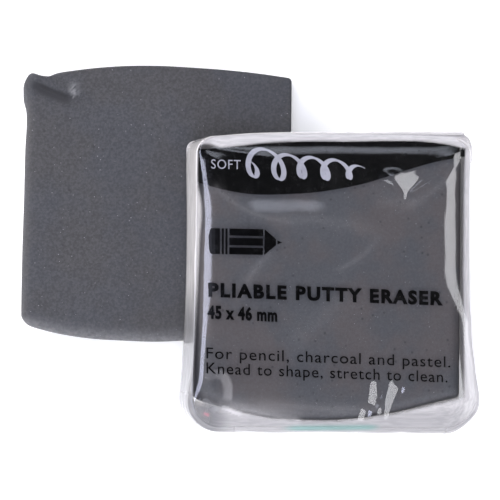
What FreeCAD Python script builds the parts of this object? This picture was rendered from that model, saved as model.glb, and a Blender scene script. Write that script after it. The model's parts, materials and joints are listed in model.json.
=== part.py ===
"""Kneadable drawing eraser as it is sold: a bare slab of putty rubber, and a second slab in its clear wrapper.

The wrapped eraser leans on the bare one, and its wrapper's right-hand edge rests on the table. Sizes are in
millimetres. The wrapper is drawn in its own frame and tilted into place at the end. In that frame U runs to the
right across the front, V up the front and W out of the front, and the origin is on the outer face of the back
film, behind the middle of the slab's straight sides. The finished row's origin is on the table, under the middle
of the whole set.
"""
import FreeCAD
import Part
import math
import os

Vector = FreeCAD.Vector

# Slab of putty rubber: a piece cut from an extruded strip, so its two ends bow outwards
BARE_HALF_WIDTHS = (22.4, 22.6)  # across its top corners and its bottom corners
WRAPPED_HALF_WIDTHS = (22.65, 22.8)
SLAB_HALF_SIDE = 20.6
SLAB_THICK = 7.5
TOP_RISE = 1.9
BOTTOM_DROP = 3.0
SIDE_HOLLOW = 0.3  # the left side is slightly hollow
SLAB_CORNER = 1.0
SLAB_EDGE = 0.8
EAR_RADIUS = 1.5  # pinched-up corner of the bare slab
EAR_CENTRE = (-21.0, 19.9)

# Clear film wrapper: drawn as a 0.15 mm sheet, where real film is about 0.04 mm
FILM = 0.15
SLACK = 0.1  # between the film and the slab's faces
WRAP_LEFT = -23.15
WRAP_RIGHT = 23.9
WRAP_TOP = 23.3
WRAP_BOTTOM = -26.0
CORNER_TOP = 1.2
CORNER_BOTTOM_LEFT = 6.5
CORNER_BOTTOM_RIGHT = 4.5
LAP_HALF = 3.0  # half the width of the lap seam down the back
TUCK_DEPTH = 4.0  # how far the side folds reach in under the end flaps
FLAP_SHORT = 1.6  # how far an end flap stops short of the far panel
FLAP_TAPER = 3.2  # how much an end flap narrows at each side
PLY_GAP = 0.08

# Ink printed on the front film, as corner points in U and V
INK = 0.05
BAND_TOP = ((-22.3, 20.9), (0.0, 22.4), (23.2, 20.4))
BAND_LOW = ((23.2, 19.8), (-2.6, 13.4), (-22.3, 15.5))
FLOURISH = ((-14.0, 17.6), (-2.0, 20.2), (12.5, 18.8))
FLOURISH_SAG = 2.6
# Printed blocks, each as left, right, baseline and height
EMBLEM = (-20.7, -8.6, 3.7, 4.4)
TITLE = (-21.6, 18.8, -4.6, 2.5)
SIZE_LINE = (-21.6, -9.4, -7.6, 2.5)
NOTE_UPPER = (-22.0, 20.3, -15.0, 1.7)
NOTE_LOWER = (-22.0, 19.6, -17.7, 1.7)

# How the wrapped eraser lies against the bare one
LEAN_REACH = 27.8  # on the table, from the bare slab's right side to the wrapper's resting edge
LEAN_GAP = 0.3
WRAP_OFFSET_Y = -12.5

# Heights above the wrapper's back, in its own frame
OUTER_PLY_TOP = FILM
INNER_PLY_TOP = 2 * FILM
SLAB_LOW = INNER_PLY_TOP + SLACK
SLAB_HIGH = SLAB_LOW + SLAB_THICK
FRONT_LOW = SLAB_HIGH + SLACK
FRONT_HIGH = FRONT_LOW + FILM

# Positions along V of the plies folded over the top end
TUCK_V = SLAB_HALF_SIDE + TOP_RISE + 0.35
INNER_FLAP_V = TUCK_V + FILM
OUTER_FLAP_V = WRAP_TOP + PLY_GAP


def line(a, b):
    return Part.LineSegment(a, b).toShape()


def arc(a, middle, b):
    return Part.Arc(a, middle, b).toShape()


def extruded(edges, direction):
    return Part.Face(Part.Wire(edges)).extrude(direction)


def polygon(points, direction):
    return extruded(Part.makePolygon(points + points[:1]).Edges, direction)


def upright_edges(shape):
    """Edges that run through the slab's thickness."""
    return [e for e in shape.Edges if e.BoundBox.ZLength > SLAB_THICK / 2]


def face_rim(shape):
    """Edges round the slab's two flat faces."""
    return [e for e in shape.Edges if e.BoundBox.ZLength < SLAB_THICK / 2]


def slab(half_top, half_bottom):
    """A slab of putty with bowed ends, standing on Z = 0."""
    top_left = Vector(-half_top, SLAB_HALF_SIDE, 0)
    top_right = Vector(half_top, SLAB_HALF_SIDE, 0)
    low_right = Vector(half_top, -SLAB_HALF_SIDE, 0)
    low_left = Vector(-half_bottom, -SLAB_HALF_SIDE, 0)
    side_middle = (top_left + low_left) * 0.5 + Vector(SIDE_HOLLOW, 0, 0)
    body = extruded(
        [
            arc(top_left, Vector(0, SLAB_HALF_SIDE + TOP_RISE, 0), top_right),
            line(top_right, low_right),
            arc(low_right, Vector(0, -SLAB_HALF_SIDE - BOTTOM_DROP, 0), low_left),
            arc(low_left, side_middle, top_left),
        ],
        Vector(0, 0, SLAB_THICK),
    )
    body = body.makeFillet(SLAB_CORNER, upright_edges(body))
    return body.makeFillet(SLAB_EDGE, face_rim(body))


def ear():
    """The pinched-up corner at the top left of the bare slab."""
    stub = Part.makeCylinder(EAR_RADIUS, SLAB_THICK, Vector(EAR_CENTRE[0], EAR_CENTRE[1], 0))
    return stub.makeFillet(SLAB_EDGE, face_rim(stub))


def rounded_corner(centre_u, centre_v, radius, start, height):
    """Start, middle and end of a quarter turn about a point; a zero radius gives one point three times."""
    turns = [math.radians(start + turn) for turn in (0, 45, 90)]
    return [Vector(centre_u + radius * math.cos(t), centre_v + radius * math.sin(t), height) for t in turns]


def panel(left, right, height):
    """A flat film panel between two straight sides; only the wrapper's own corners are rounded."""
    top_right = CORNER_TOP if right == WRAP_RIGHT else 0
    top_left = CORNER_TOP if left == WRAP_LEFT else 0
    low_left = CORNER_BOTTOM_LEFT if left == WRAP_LEFT else 0
    low_right = CORNER_BOTTOM_RIGHT if right == WRAP_RIGHT else 0
    corners = [
        rounded_corner(right - top_right, WRAP_TOP - top_right, top_right, 0, height),
        rounded_corner(left + top_left, WRAP_TOP - top_left, top_left, 90, height),
        rounded_corner(left + low_left, WRAP_BOTTOM + low_left, low_left, 180, height),
        rounded_corner(right - low_right, WRAP_BOTTOM + low_right, low_right, 270, height),
    ]
    edges = []
    for index, (start, middle, end) in enumerate(corners):
        if (end - start).Length > 1e-6:
            edges.append(arc(start, middle, end))
        edges.append(line(end, corners[(index + 1) % 4][0]))
    return extruded(edges, Vector(0, 0, FILM))


def side_wall(outer, inward, low_corner, floor):
    """A straight side of the wrapper, from the back ply up to the front panel."""
    low, high = WRAP_BOTTOM + low_corner, TUCK_V + FILM - CORNER_TOP
    corner = Vector(min(outer, outer + inward * FILM), low, floor)
    return Part.makeBox(FILM, high - low, FRONT_LOW - floor, corner)


def corner_ring(centre_u, centre_v, radius, start, floor):
    """A quarter ring of film where the side is folded round a corner."""
    centre, up = Vector(centre_u, centre_v, floor), Vector(0, 0, 1)
    height = FRONT_LOW - floor
    ring = Part.makeCylinder(radius, height, centre, up, 90).cut(
        Part.makeCylinder(radius - FILM, height, centre, up, 90))
    ring.rotate(centre, up, start)
    return ring


def top_tuck(outer, inward, floor):
    """The side folded round a top corner, and its triangular tuck against the slab's end."""
    u, v = outer + inward * CORNER_TOP, TUCK_V + FILM - CORNER_TOP
    ring = corner_ring(u, v, CORNER_TOP, 90 if inward > 0 else 0, floor)
    tip = Vector(u + inward * TUCK_DEPTH, TUCK_V, (floor + FRONT_LOW) / 2)
    triangle = polygon([Vector(u, TUCK_V, floor), tip, Vector(u, TUCK_V, FRONT_LOW)], Vector(0, FILM, 0))
    return ring.fuse(triangle).removeSplitter()


def end_flap(v, fold, far, left, right):
    """An end flap, tapering from its fold line to its free edge."""
    points = [
        Vector(left, v, fold), Vector(right, v, fold),
        Vector(right - FLAP_TAPER, v, far), Vector(left + FLAP_TAPER, v, far),
    ]
    return polygon(points, Vector(0, FILM, 0))


def header_band():
    """The dark printed band across the top of the front film, with bowed edges."""
    top_left, top_middle, top_right = (Vector(u, v, FRONT_HIGH) for u, v in BAND_TOP)
    low_right, low_middle, low_left = (Vector(u, v, FRONT_HIGH) for u, v in BAND_LOW)
    outline = [
        arc(top_left, top_middle, top_right), line(top_right, low_right),
        arc(low_right, low_middle, low_left), line(low_left, top_left),
    ]
    return extruded(outline, Vector(0, 0, INK))


def flourish():
    """The pale crescent stroke printed over the header band."""
    start, middle, end = (Vector(u, v, FRONT_HIGH + INK) for u, v in FLOURISH)
    under = middle - Vector(0, FLOURISH_SAG, 0)
    return extruded([arc(start, middle, end), arc(end, under, start)], Vector(0, 0, INK))


def printed_block(left, right, base, height):
    return Part.makeBox(right - left, height, INK, Vector(left, base, FRONT_HIGH))


def lean_angle():
    """Tilt that holds the back film LEAN_GAP clear of the bare slab's rounded upper edge."""
    across = LEAN_REACH + SLAB_EDGE
    up = SLAB_THICK - SLAB_EDGE
    return math.atan2(up, across) + math.asin((SLAB_EDGE + LEAN_GAP) / math.hypot(across, up))


def wrapper_parts():
    """Every node of the wrapper, its print and its slab, in the wrapper's own frame."""
    wrapped = slab(*WRAPPED_HALF_WIDTHS)
    wrapped.translate(Vector(0, 0, SLAB_LOW))
    top_left, top_right = WRAP_LEFT + CORNER_TOP, WRAP_RIGHT - CORNER_TOP
    low_left, low_right = WRAP_LEFT + CORNER_BOTTOM_LEFT, WRAP_RIGHT - CORNER_BOTTOM_RIGHT
    inner_far, outer_far = FRONT_LOW - FLAP_SHORT, INNER_PLY_TOP + FLAP_SHORT
    return {
        "wrapped_eraser_slab": wrapped,
        "film_front_panel": panel(WRAP_LEFT, WRAP_RIGHT, FRONT_LOW),
        "film_back_outer_ply": panel(-LAP_HALF, WRAP_RIGHT, 0),
        "film_back_inner_ply": panel(WRAP_LEFT, LAP_HALF, OUTER_PLY_TOP),
        "film_left_wall": side_wall(WRAP_LEFT, 1, CORNER_BOTTOM_LEFT, INNER_PLY_TOP),
        "film_right_wall": side_wall(WRAP_RIGHT, -1, CORNER_BOTTOM_RIGHT, OUTER_PLY_TOP),
        "film_top_left_tuck": top_tuck(WRAP_LEFT, 1, INNER_PLY_TOP),
        "film_top_right_tuck": top_tuck(WRAP_RIGHT, -1, OUTER_PLY_TOP),
        "film_top_inner_flap": end_flap(INNER_FLAP_V, INNER_PLY_TOP, inner_far, top_left, top_right),
        "film_top_outer_flap": end_flap(OUTER_FLAP_V, FRONT_LOW, outer_far, top_left, top_right),
        "film_bottom_left_fold": corner_ring(
            low_left, WRAP_BOTTOM + CORNER_BOTTOM_LEFT, CORNER_BOTTOM_LEFT, 180, INNER_PLY_TOP),
        "film_bottom_right_fold": corner_ring(
            low_right, WRAP_BOTTOM + CORNER_BOTTOM_RIGHT, CORNER_BOTTOM_RIGHT, 270, OUTER_PLY_TOP),
        "film_bottom_inner_flap": end_flap(WRAP_BOTTOM + FILM, INNER_PLY_TOP, inner_far, low_left, low_right),
        "film_bottom_outer_flap": end_flap(WRAP_BOTTOM, FRONT_LOW, outer_far, low_left, low_right),
        "printed_header_band": header_band(),
        "printed_flourish": flourish(),
        "printed_emblem": printed_block(*EMBLEM),
        "printed_title": printed_block(*TITLE),
        "printed_size_line": printed_block(*SIZE_LINE),
        "printed_notes": Part.makeCompound([printed_block(*NOTE_UPPER), printed_block(*NOTE_LOWER)]),
    }


def main():
    parts = {"bare_eraser_slab": slab(*BARE_HALF_WIDTHS).fuse(ear()).removeSplitter()}

    tilt = lean_angle()
    resting_edge = Vector(BARE_HALF_WIDTHS[0] + LEAN_REACH, WRAP_OFFSET_Y, 0)
    turn = FreeCAD.Rotation(Vector(0, 1, 0), math.degrees(tilt))
    base = resting_edge - turn.multVec(Vector(WRAP_RIGHT, 0, 0))
    place = FreeCAD.Placement(base, turn)
    for name, shape in wrapper_parts().items():
        parts[name] = shape.transformed(place.toMatrix())

    box = FreeCAD.BoundBox()
    for shape in parts.values():
        box.add(shape.optimalBoundingBox(False, False))
    centring = Vector(-box.Center.x, -box.Center.y, -box.ZMin)

    os.makedirs("parts", exist_ok=True)
    for name, shape in parts.items():
        moved = shape.translated(centring)
        if not moved.isValid():
            raise RuntimeError(name + " is not a valid shape")
        moved.exportStep("parts/" + name + ".step")

    hinge = place.multVec(Vector(0, WRAP_TOP, FRONT_HIGH)) + centring
    across = turn.multVec(Vector(1, 0, 0))
    print("overall size", [round(v, 3) for v in (box.XLength, box.YLength, box.ZLength)])
    print("tilt in degrees", round(math.degrees(tilt), 4))
    print("top flap hinge at", [round(v, 4) for v in hinge], "along", [round(v, 6) for v in across])
    print("middle of the bare slab", [round(v, 4) for v in centring])
    print("wrapper's origin", [round(v, 4) for v in base + centring])


main()
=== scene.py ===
"""Looks of a kneadable eraser set: a bare putty slab, a second slab, and its clear printed film wrapper.

The wrapper is worked out in its own frame, in millimetres: U runs to the right across the front, V up the
front and W out of the front. WrapFrame turns that frame into the row's frame, in metres.
"""
import json
import logging
import math
from dataclasses import dataclass, field
from enum import Enum
from typing import Callable, Iterable, Sequence

import bmesh
import bpy
import numpy as np
from mathutils import Matrix, Vector, noise
from mathutils.bvhtree import BVHTree


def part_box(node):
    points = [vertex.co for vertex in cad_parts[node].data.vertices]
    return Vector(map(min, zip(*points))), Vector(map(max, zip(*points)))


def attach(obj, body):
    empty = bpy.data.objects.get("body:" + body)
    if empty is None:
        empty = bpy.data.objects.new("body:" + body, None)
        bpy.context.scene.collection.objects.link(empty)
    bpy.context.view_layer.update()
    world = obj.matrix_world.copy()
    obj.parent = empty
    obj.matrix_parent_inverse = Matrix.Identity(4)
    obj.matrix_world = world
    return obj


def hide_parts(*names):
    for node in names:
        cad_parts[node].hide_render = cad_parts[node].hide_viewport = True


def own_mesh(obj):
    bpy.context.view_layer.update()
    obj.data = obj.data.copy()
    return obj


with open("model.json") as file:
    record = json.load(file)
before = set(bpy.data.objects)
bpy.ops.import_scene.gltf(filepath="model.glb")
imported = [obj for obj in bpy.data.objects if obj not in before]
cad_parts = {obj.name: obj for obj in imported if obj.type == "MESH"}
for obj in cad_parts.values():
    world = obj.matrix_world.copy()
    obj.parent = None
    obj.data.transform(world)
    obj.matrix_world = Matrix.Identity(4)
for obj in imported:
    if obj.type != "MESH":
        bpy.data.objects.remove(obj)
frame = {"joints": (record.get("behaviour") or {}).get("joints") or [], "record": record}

MM = 0.001
Array = np.ndarray
Curve = Callable[[Array], Array]
Point = tuple[float, float]
Colour = tuple[float, float, float, float]
FAR = 1e9  # further than any distance here
log = logging.getLogger("eraser_set")


class Body(str, Enum):
    """Bodies that pieces ride on."""

    BARE = "bare_eraser"
    WRAPPER = "wrapper"
    WRAPPED = "wrapped_eraser"
    TOP_FLAP = "top_flap"


class Slot(str, Enum):
    """Material slots of the record."""

    PUTTY = "putty"
    FILM = "clear_film"
    BLACK = "black_ink"
    WHITE = "white_ink"


# --------------------------------------------------------------------------------- curves and grids


def smooth_curve(*points: Point) -> Curve:
    """Makes a smooth curve through a few points.

    Args:
        points: pairs of position and value, in rising order of position.

    Returns:
        A function from positions to values, held level past both ends.
    """
    x, y = np.array(points, float).T
    slope = np.gradient(y, x)

    def value(at: Array) -> Array:
        """Value of the curve at each position."""
        at = np.clip(at, x[0], x[-1])
        k = np.clip(np.searchsorted(x, at) - 1, 0, len(x) - 2)
        h = x[k + 1] - x[k]
        t = (at - x[k]) / h
        rise = (3 - 2 * t) * t * t
        lean = t * (1 - t) * h * ((1 - t) * slope[k] - t * slope[k + 1])
        return y[k] + (y[k + 1] - y[k]) * rise + lean

    return value


def smoothstep(low: float, high: float, x: Array) -> Array:
    """Eases from 0 at low to 1 at high."""
    t = np.clip((x - low) / (high - low), 0, 1)
    return t * t * (3 - 2 * t)


def graded(count: int, edge_count: int, edge_share: float) -> Array:
    """Positions from -1 to 1, closer together near both ends.

    Args:
        count: positions across the middle.
        edge_count: extra positions in each edge zone.
        edge_share: width of an edge zone, out of a half width of 1.

    Returns:
        The positions in rising order.
    """
    edge = np.linspace(0, edge_share, edge_count, endpoint=False)
    return np.concatenate([edge - 1, np.linspace(edge_share - 1, 1 - edge_share, count), (1 - edge)[::-1]])


def noise_field(u: Array, v: Array, scale: float, seed: float) -> Array:
    """Smooth noise from -1 to 1 over a plane.

    Args:
        u, v: positions in millimetres.
        scale: size of a lump in millimetres.
        seed: picks the pattern.

    Returns:
        The noise at each position.
    """
    spots = zip(u.ravel() / scale, v.ravel() / scale)
    return np.array([noise.noise(Vector((a, b, seed))) for a, b in spots]).reshape(u.shape)


def mound(u: Array, v: Array, centre: Point, size: Point) -> Array:
    """A smooth mound over a plane, 1 high at its centre."""
    return np.exp(-(((u - centre[0]) / size[0]) ** 2 + ((v - centre[1]) / size[1]) ** 2))


def bent_line(start: Point, bend: Point, end: Point, count: int) -> Array:
    """Points along a line that leaves its start towards the bend and comes from there to its end."""
    k = np.linspace(0, 1, count)[:, None]
    a, b, c = np.array([start, bend, end], float)
    return (1 - k) ** 2 * a + 2 * k * (1 - k) * b + k * k * c


@dataclass(frozen=True)
class Outline:
    """A four-sided outline in plan, with curved sides and rounded corners, in millimetres."""

    left: Curve
    right: Curve
    bottom: Curve
    top: Curve
    corners: tuple[float, float, float, float]  # radii at bottom left, bottom right, top right, top left

    def points(self, s: Array, t: Array) -> tuple[Array, Array]:
        """Maps a square onto the outline's inside.

        Args:
            s, t: positions across and up, from -1 to 1.

        Returns:
            U and V of each position.
        """
        zero = np.zeros(1)
        half_u = float(self.right(zero)[0] - self.left(zero)[0]) / 2
        half_v = float(self.top(zero)[0] - self.bottom(zero)[0]) / 2
        s_in, t_in = s.copy(), t.copy()
        for radius, side, end in zip(self.corners, (-1, 1, 1, -1), (-1, -1, 1, 1)):
            a = np.clip((side * s - 1) * half_u / radius + 1, 0, 1)
            b = np.clip((end * t - 1) * half_v / radius + 1, 0, 1)
            s_in += side * a * (np.sqrt(1 - b * b / 2) - 1) * radius / half_u
            t_in += end * b * (np.sqrt(1 - a * a / 2) - 1) * radius / half_v
        level = t_in * half_v + float(self.top(zero)[0] + self.bottom(zero)[0]) / 2
        u = self.left(level) + (self.right(level) - self.left(level)) * (s_in + 1) / 2
        v = self.bottom(u) + (self.top(u) - self.bottom(u)) * (t_in + 1) / 2
        return u, v

    def inset(self, left: float, right: float, bottom: float, top: float, shrink: float) -> "Outline":
        """The outline moved inwards by its own distance on each side, with its corner radii shrunk."""
        return Outline(
            lambda v: self.left(v) + left, lambda v: self.right(v) - right,
            lambda u: self.bottom(u) + bottom, lambda u: self.top(u) - top,
            tuple(max(radius - shrink, 0.15) for radius in self.corners),
        )


@dataclass(frozen=True)
class Lattice:
    """A grid of positions over a square, with its faces and its rim."""

    s: Array
    t: Array

    @classmethod
    def of(cls, across: Array, up: Array) -> "Lattice":
        """A lattice from the positions along each side."""
        s, t = np.meshgrid(across, up)
        return cls(s, t)

    def faces(self, start: int = 0, flip: bool = False) -> list[tuple[int, ...]]:
        """Quads of the grid, counter-clockwise from the front, or clockwise if flipped."""
        rows, columns = self.s.shape
        i = (np.arange(rows - 1)[:, None] * columns + np.arange(columns - 1)[None, :]).ravel() + start
        quads = np.stack([i, i + 1, i + columns + 1, i + columns], 1)
        return [tuple(q) for q in (quads[:, ::-1] if flip else quads).tolist()]

    def rim(self) -> Array:
        """Indices round the rim, counter-clockwise from the bottom left."""
        rows, columns = self.s.shape
        index = np.arange(rows * columns).reshape(rows, columns)
        return np.concatenate([index[0, :-1], index[:-1, -1], index[-1, :0:-1], index[:0:-1, 0]])


def ring_faces(first: Sequence[int], second: Sequence[int], closed: bool = True) -> list[tuple[int, ...]]:
    """Quads between two rows of points, facing outwards where the first is above and counter-clockwise."""
    n = len(first)
    steps = range(n if closed else n - 1)
    return [(int(first[k]), int(second[k]), int(second[(k + 1) % n]), int(first[(k + 1) % n])) for k in steps]


# ------------------------------------------------------------------------------------------- pieces


@dataclass(frozen=True)
class WrapFrame:
    """The wrapper's own frame, from millimetres in U, V and W to metres in the row's frame."""

    origin: Vector
    along_u: Vector
    along_v: Vector
    along_w: Vector

    @classmethod
    def from_hinge(cls, fold_v: float, fold_w: float) -> "WrapFrame":
        """Works the frame out from the top flap's hinge.

        Args:
            fold_v, fold_w: where that hinge is in the wrapper's own frame.

        Returns:
            The frame.
        """
        hinge = next(j for j in frame["joints"] if j["name"] == "top_flap_fold")
        along_u, along_v = Vector(hinge["axis"]).normalized(), Vector((0, 1, 0))
        along_w = along_u.cross(along_v)
        origin = Vector(hinge["pos_m"]) - along_v * fold_v * MM - along_w * fold_w * MM
        return cls(origin, along_u, along_v, along_w)

    def matrix(self) -> Matrix:
        """The frame as a matrix, with its scale."""
        turn = Matrix((self.along_u, self.along_v, self.along_w)).transposed().to_4x4()
        return Matrix.Translation(self.origin) @ turn @ Matrix.Scale(MM, 4)


@dataclass
class Draft:
    """Points and faces of a piece in the making, in millimetres, with named values at each point."""

    points: list[Array] = field(default_factory=list)
    faces: list[tuple[int, ...]] = field(default_factory=list)
    marks: dict[str, list[Array]] = field(default_factory=dict)
    count: int = 0

    def add(self, u: Array, v: Array, w: Array, **marks: Array) -> Array:
        """Adds points.

        Args:
            u, v, w: their coordinates.
            marks: a value for each point under each name.

        Returns:
            Their indices, in the shape of u.
        """
        u, v, w = np.broadcast_arrays(u, v, w)
        self.points.append(np.stack([u.ravel(), v.ravel(), w.ravel()], 1))
        for name, values in marks.items():
            self.marks.setdefault(name, []).append(np.broadcast_to(values, u.shape).ravel())
        index = np.arange(self.count, self.count + u.size).reshape(u.shape)
        self.count += u.size
        return index

    def piece(self, name: str, place: Matrix, material: bpy.types.Material) -> bpy.types.Object:
        """Turns the draft into an object in the row's frame.

        Args:
            name: the piece's name.
            place: from the draft's frame to the row's.
            material: its finish.

        Returns:
            The object.
        """
        mesh = bpy.data.meshes.new(name)
        mesh.from_pydata(np.concatenate(self.points).tolist(), [], self.faces)
        for mark, values in self.marks.items():
            attribute = mesh.attributes.new(mark, "FLOAT", "POINT")
            attribute.data.foreach_set("value", np.concatenate(values).astype(np.float32))
        mesh.transform(place)
        mesh.shade_smooth()
        mesh.materials.append(material)
        mesh.update()
        piece = bpy.data.objects.new(name, mesh)
        bpy.context.scene.collection.objects.link(piece)
        return piece


def plain_mesh(piece: bpy.types.Object) -> bpy.types.Object:
    """Applies every modifier on a piece, leaving a plain mesh."""
    graph = bpy.context.evaluated_depsgraph_get()
    mesh = bpy.data.meshes.new_from_object(piece.evaluated_get(graph))
    piece.modifiers.clear()
    piece.data = mesh
    return piece


def thicken(piece: bpy.types.Object, thickness: float) -> bpy.types.Object:
    """Gives an open sheet a thickness in millimetres, inwards from its faces."""
    solid = piece.modifiers.new("thickness", "SOLIDIFY")
    solid.thickness = thickness * MM
    solid.offset = -1
    return plain_mesh(piece)


def settle(piece: bpy.types.Object, body: Body, slot: Slot, *nodes: str) -> None:
    """Puts a finished piece on its body, in place of its nodes, and reports it."""
    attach(piece, body.value)
    if nodes:
        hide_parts(*nodes)
    log.info("%s: %d faces, on %s", piece.name, len(piece.data.polygons), body.value)


# ----------------------------------------------------------------------------------------- finishes


class Graph:
    """A material's or a geometry tree's nodes, added and linked by short calls."""

    def __init__(self, tree: bpy.types.NodeTree) -> None:
        """Keeps the tree."""
        self.tree = tree

    def add(self, kind: str, links: dict[str, object] | None = None, **settings: object) -> bpy.types.Node:
        """Adds a node.

        Args:
            kind: the node's type.
            links: a socket or a plain value for each named or numbered input.
            settings: the node's own properties.

        Returns:
            The node.
        """
        node = self.tree.nodes.new(kind)
        for name, value in settings.items():
            setattr(node, name, value)
        for name, value in (links or {}).items():
            socket = node.inputs[name]
            if isinstance(value, bpy.types.NodeSocket):
                self.tree.links.new(value, socket)
            else:
                socket.default_value = value
        return node

    def math(self, operation: str, a: object, b: object = 0.0, c: object = 0.0) -> bpy.types.NodeSocket:
        """A maths node's result."""
        return self.add("ShaderNodeMath", {0: a, 1: b, 2: c}, operation=operation).outputs[0]

    def mix(self, share: object, a: object, b: object, blend: str = "MIX") -> bpy.types.NodeSocket:
        """A colour mixed from a to b."""
        node = self.add("ShaderNodeMix", data_type="RGBA", blend_type=blend)
        for index, value in ((0, share), (6, a), (7, b)):
            if isinstance(value, bpy.types.NodeSocket):
                self.tree.links.new(value, node.inputs[index])
            else:
                node.inputs[index].default_value = value
        return node.outputs[2]

    def ramp(self, value: object, low: float, high: float, bottom: float = 0.0,
             top: float = 1.0) -> bpy.types.NodeSocket:
        """A value taken from one range to another, eased and held level past both ends."""
        links = {"Value": value, "From Min": low, "From Max": high, "To Min": bottom, "To Max": top}
        node = self.add("ShaderNodeMapRange", links, interpolation_type="SMOOTHSTEP")
        return node.outputs["Result"]

    def noise(self, where: object, scale: float, detail: float = 3.0,
              roughness: float = 0.55) -> bpy.types.NodeSocket:
        """Noise between 0 and 1, with its scale in lumps to the metre."""
        links = {"Vector": where, "Scale": scale, "Detail": detail, "Roughness": roughness}
        return self.add("ShaderNodeTexNoise", links).outputs["Fac"]

    def mark(self, name: str) -> bpy.types.NodeSocket:
        """A value stored at each point of the mesh."""
        return self.add("ShaderNodeAttribute", attribute_name=name).outputs["Fac"]

    def bump(self, height: object, strength: float, distance: float) -> bpy.types.NodeSocket:
        """A normal turned by a height, whose full range is the distance in metres."""
        links = {"Height": height, "Strength": strength, "Distance": distance}
        return self.add("ShaderNodeBump", links).outputs["Normal"]

    def plastic(self, colour: object, roughness: object, specular: float,
                normal: bpy.types.NodeSocket) -> bpy.types.NodeSocket:
        """A solid, unmetallic surface."""
        links = {"Base Color": colour, "Roughness": roughness, "Specular IOR Level": specular,
                 "Normal": normal}
        return self.add("ShaderNodeBsdfPrincipled", links).outputs[0]

    def show(self, surface: bpy.types.NodeSocket) -> None:
        """Gives the material its surface."""
        self.add("ShaderNodeOutputMaterial", {"Surface": surface})


def new_material(name: str) -> tuple[bpy.types.Material, Graph]:
    """An empty node material and its graph."""
    material = bpy.data.materials.new(name)
    material.use_nodes = True
    material.node_tree.nodes.clear()
    return material, Graph(material.node_tree)


@dataclass(frozen=True)
class PuttyFinish:
    """Dark grey putty rubber: matt, mottled, finely stretched, paler along its handled bottom and left edges,
    partly from rubbed-in dirt and partly from painted light, and darker in painted shade in its pinch's
    valley.
    """

    name: str
    cool: Colour = (0.044, 0.046, 0.054, 1)
    warm: Colour = (0.045, 0.044, 0.047, 1)
    bloom: Colour = (0.175, 0.175, 0.185, 1)
    dust_and_edge_light: Colour = (0.235, 0.235, 0.245, 1)
    pit_and_shade: Colour = (0.033, 0.033, 0.037, 1)
    roughness: tuple[float, float] = (0.62, 0.82)
    specular: float = 0.32

    def build(self) -> bpy.types.Material:
        """Builds the node material."""
        material, g = new_material(self.name)
        where = g.add("ShaderNodeTexCoord").outputs["Object"]
        stretch = g.add("ShaderNodeMapping", {"Vector": where, "Scale": (1, 0.22, 1)}).outputs["Vector"]
        # Clouds of two greys, a pale grain, and small pits
        clouds = g.ramp(g.noise(where, 95, 4), 0.38, 0.62)
        colour = g.mix(clouds, self.cool, self.warm)
        grain = g.noise(where, 2600, 2)
        colour = g.mix(g.ramp(grain, 0.3, 0.75, 0.0, 0.26), colour, self.bloom)
        pits = g.add("ShaderNodeTexVoronoi", {"Vector": where, "Scale": 520.0}).outputs["Distance"]
        colour = g.mix(g.ramp(pits, 0.05, 0.16, 0.6, 0.0), colour, self.pit_and_shade)
        # Painted shade in the pinch's valley, and pale edges that are partly dust and partly painted light,
        # from the mark left on the mesh
        bloom = g.mark("bloom")
        # Painted shade: below zero the mark darkens the pinch's valley towards the pit colour
        colour = g.mix(g.ramp(bloom, -1.0, 0.0, 1.0, 0.0), colour, self.pit_and_shade)
        patchy = g.ramp(g.noise(where, 1500, 4, 0.7), 0.25, 0.7, 0.45, 1.0)
        dust_and_edge_light_share = g.math("MULTIPLY", g.math("MAXIMUM", bloom, 0.0), patchy)
        colour = g.mix(dust_and_edge_light_share, colour, self.dust_and_edge_light)
        # Fine stretch lines and grain to the touch
        lines = g.noise(stretch, 1900, 3)
        height = g.math("ADD", g.math("MULTIPLY", lines, 0.6), g.math("MULTIPLY", grain, 0.5))
        roughness = g.ramp(grain, 0.3, 0.7, *self.roughness)
        g.show(g.plastic(colour, roughness, self.specular, g.bump(height, 0.42, 0.11 * MM)))
        return material


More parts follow.
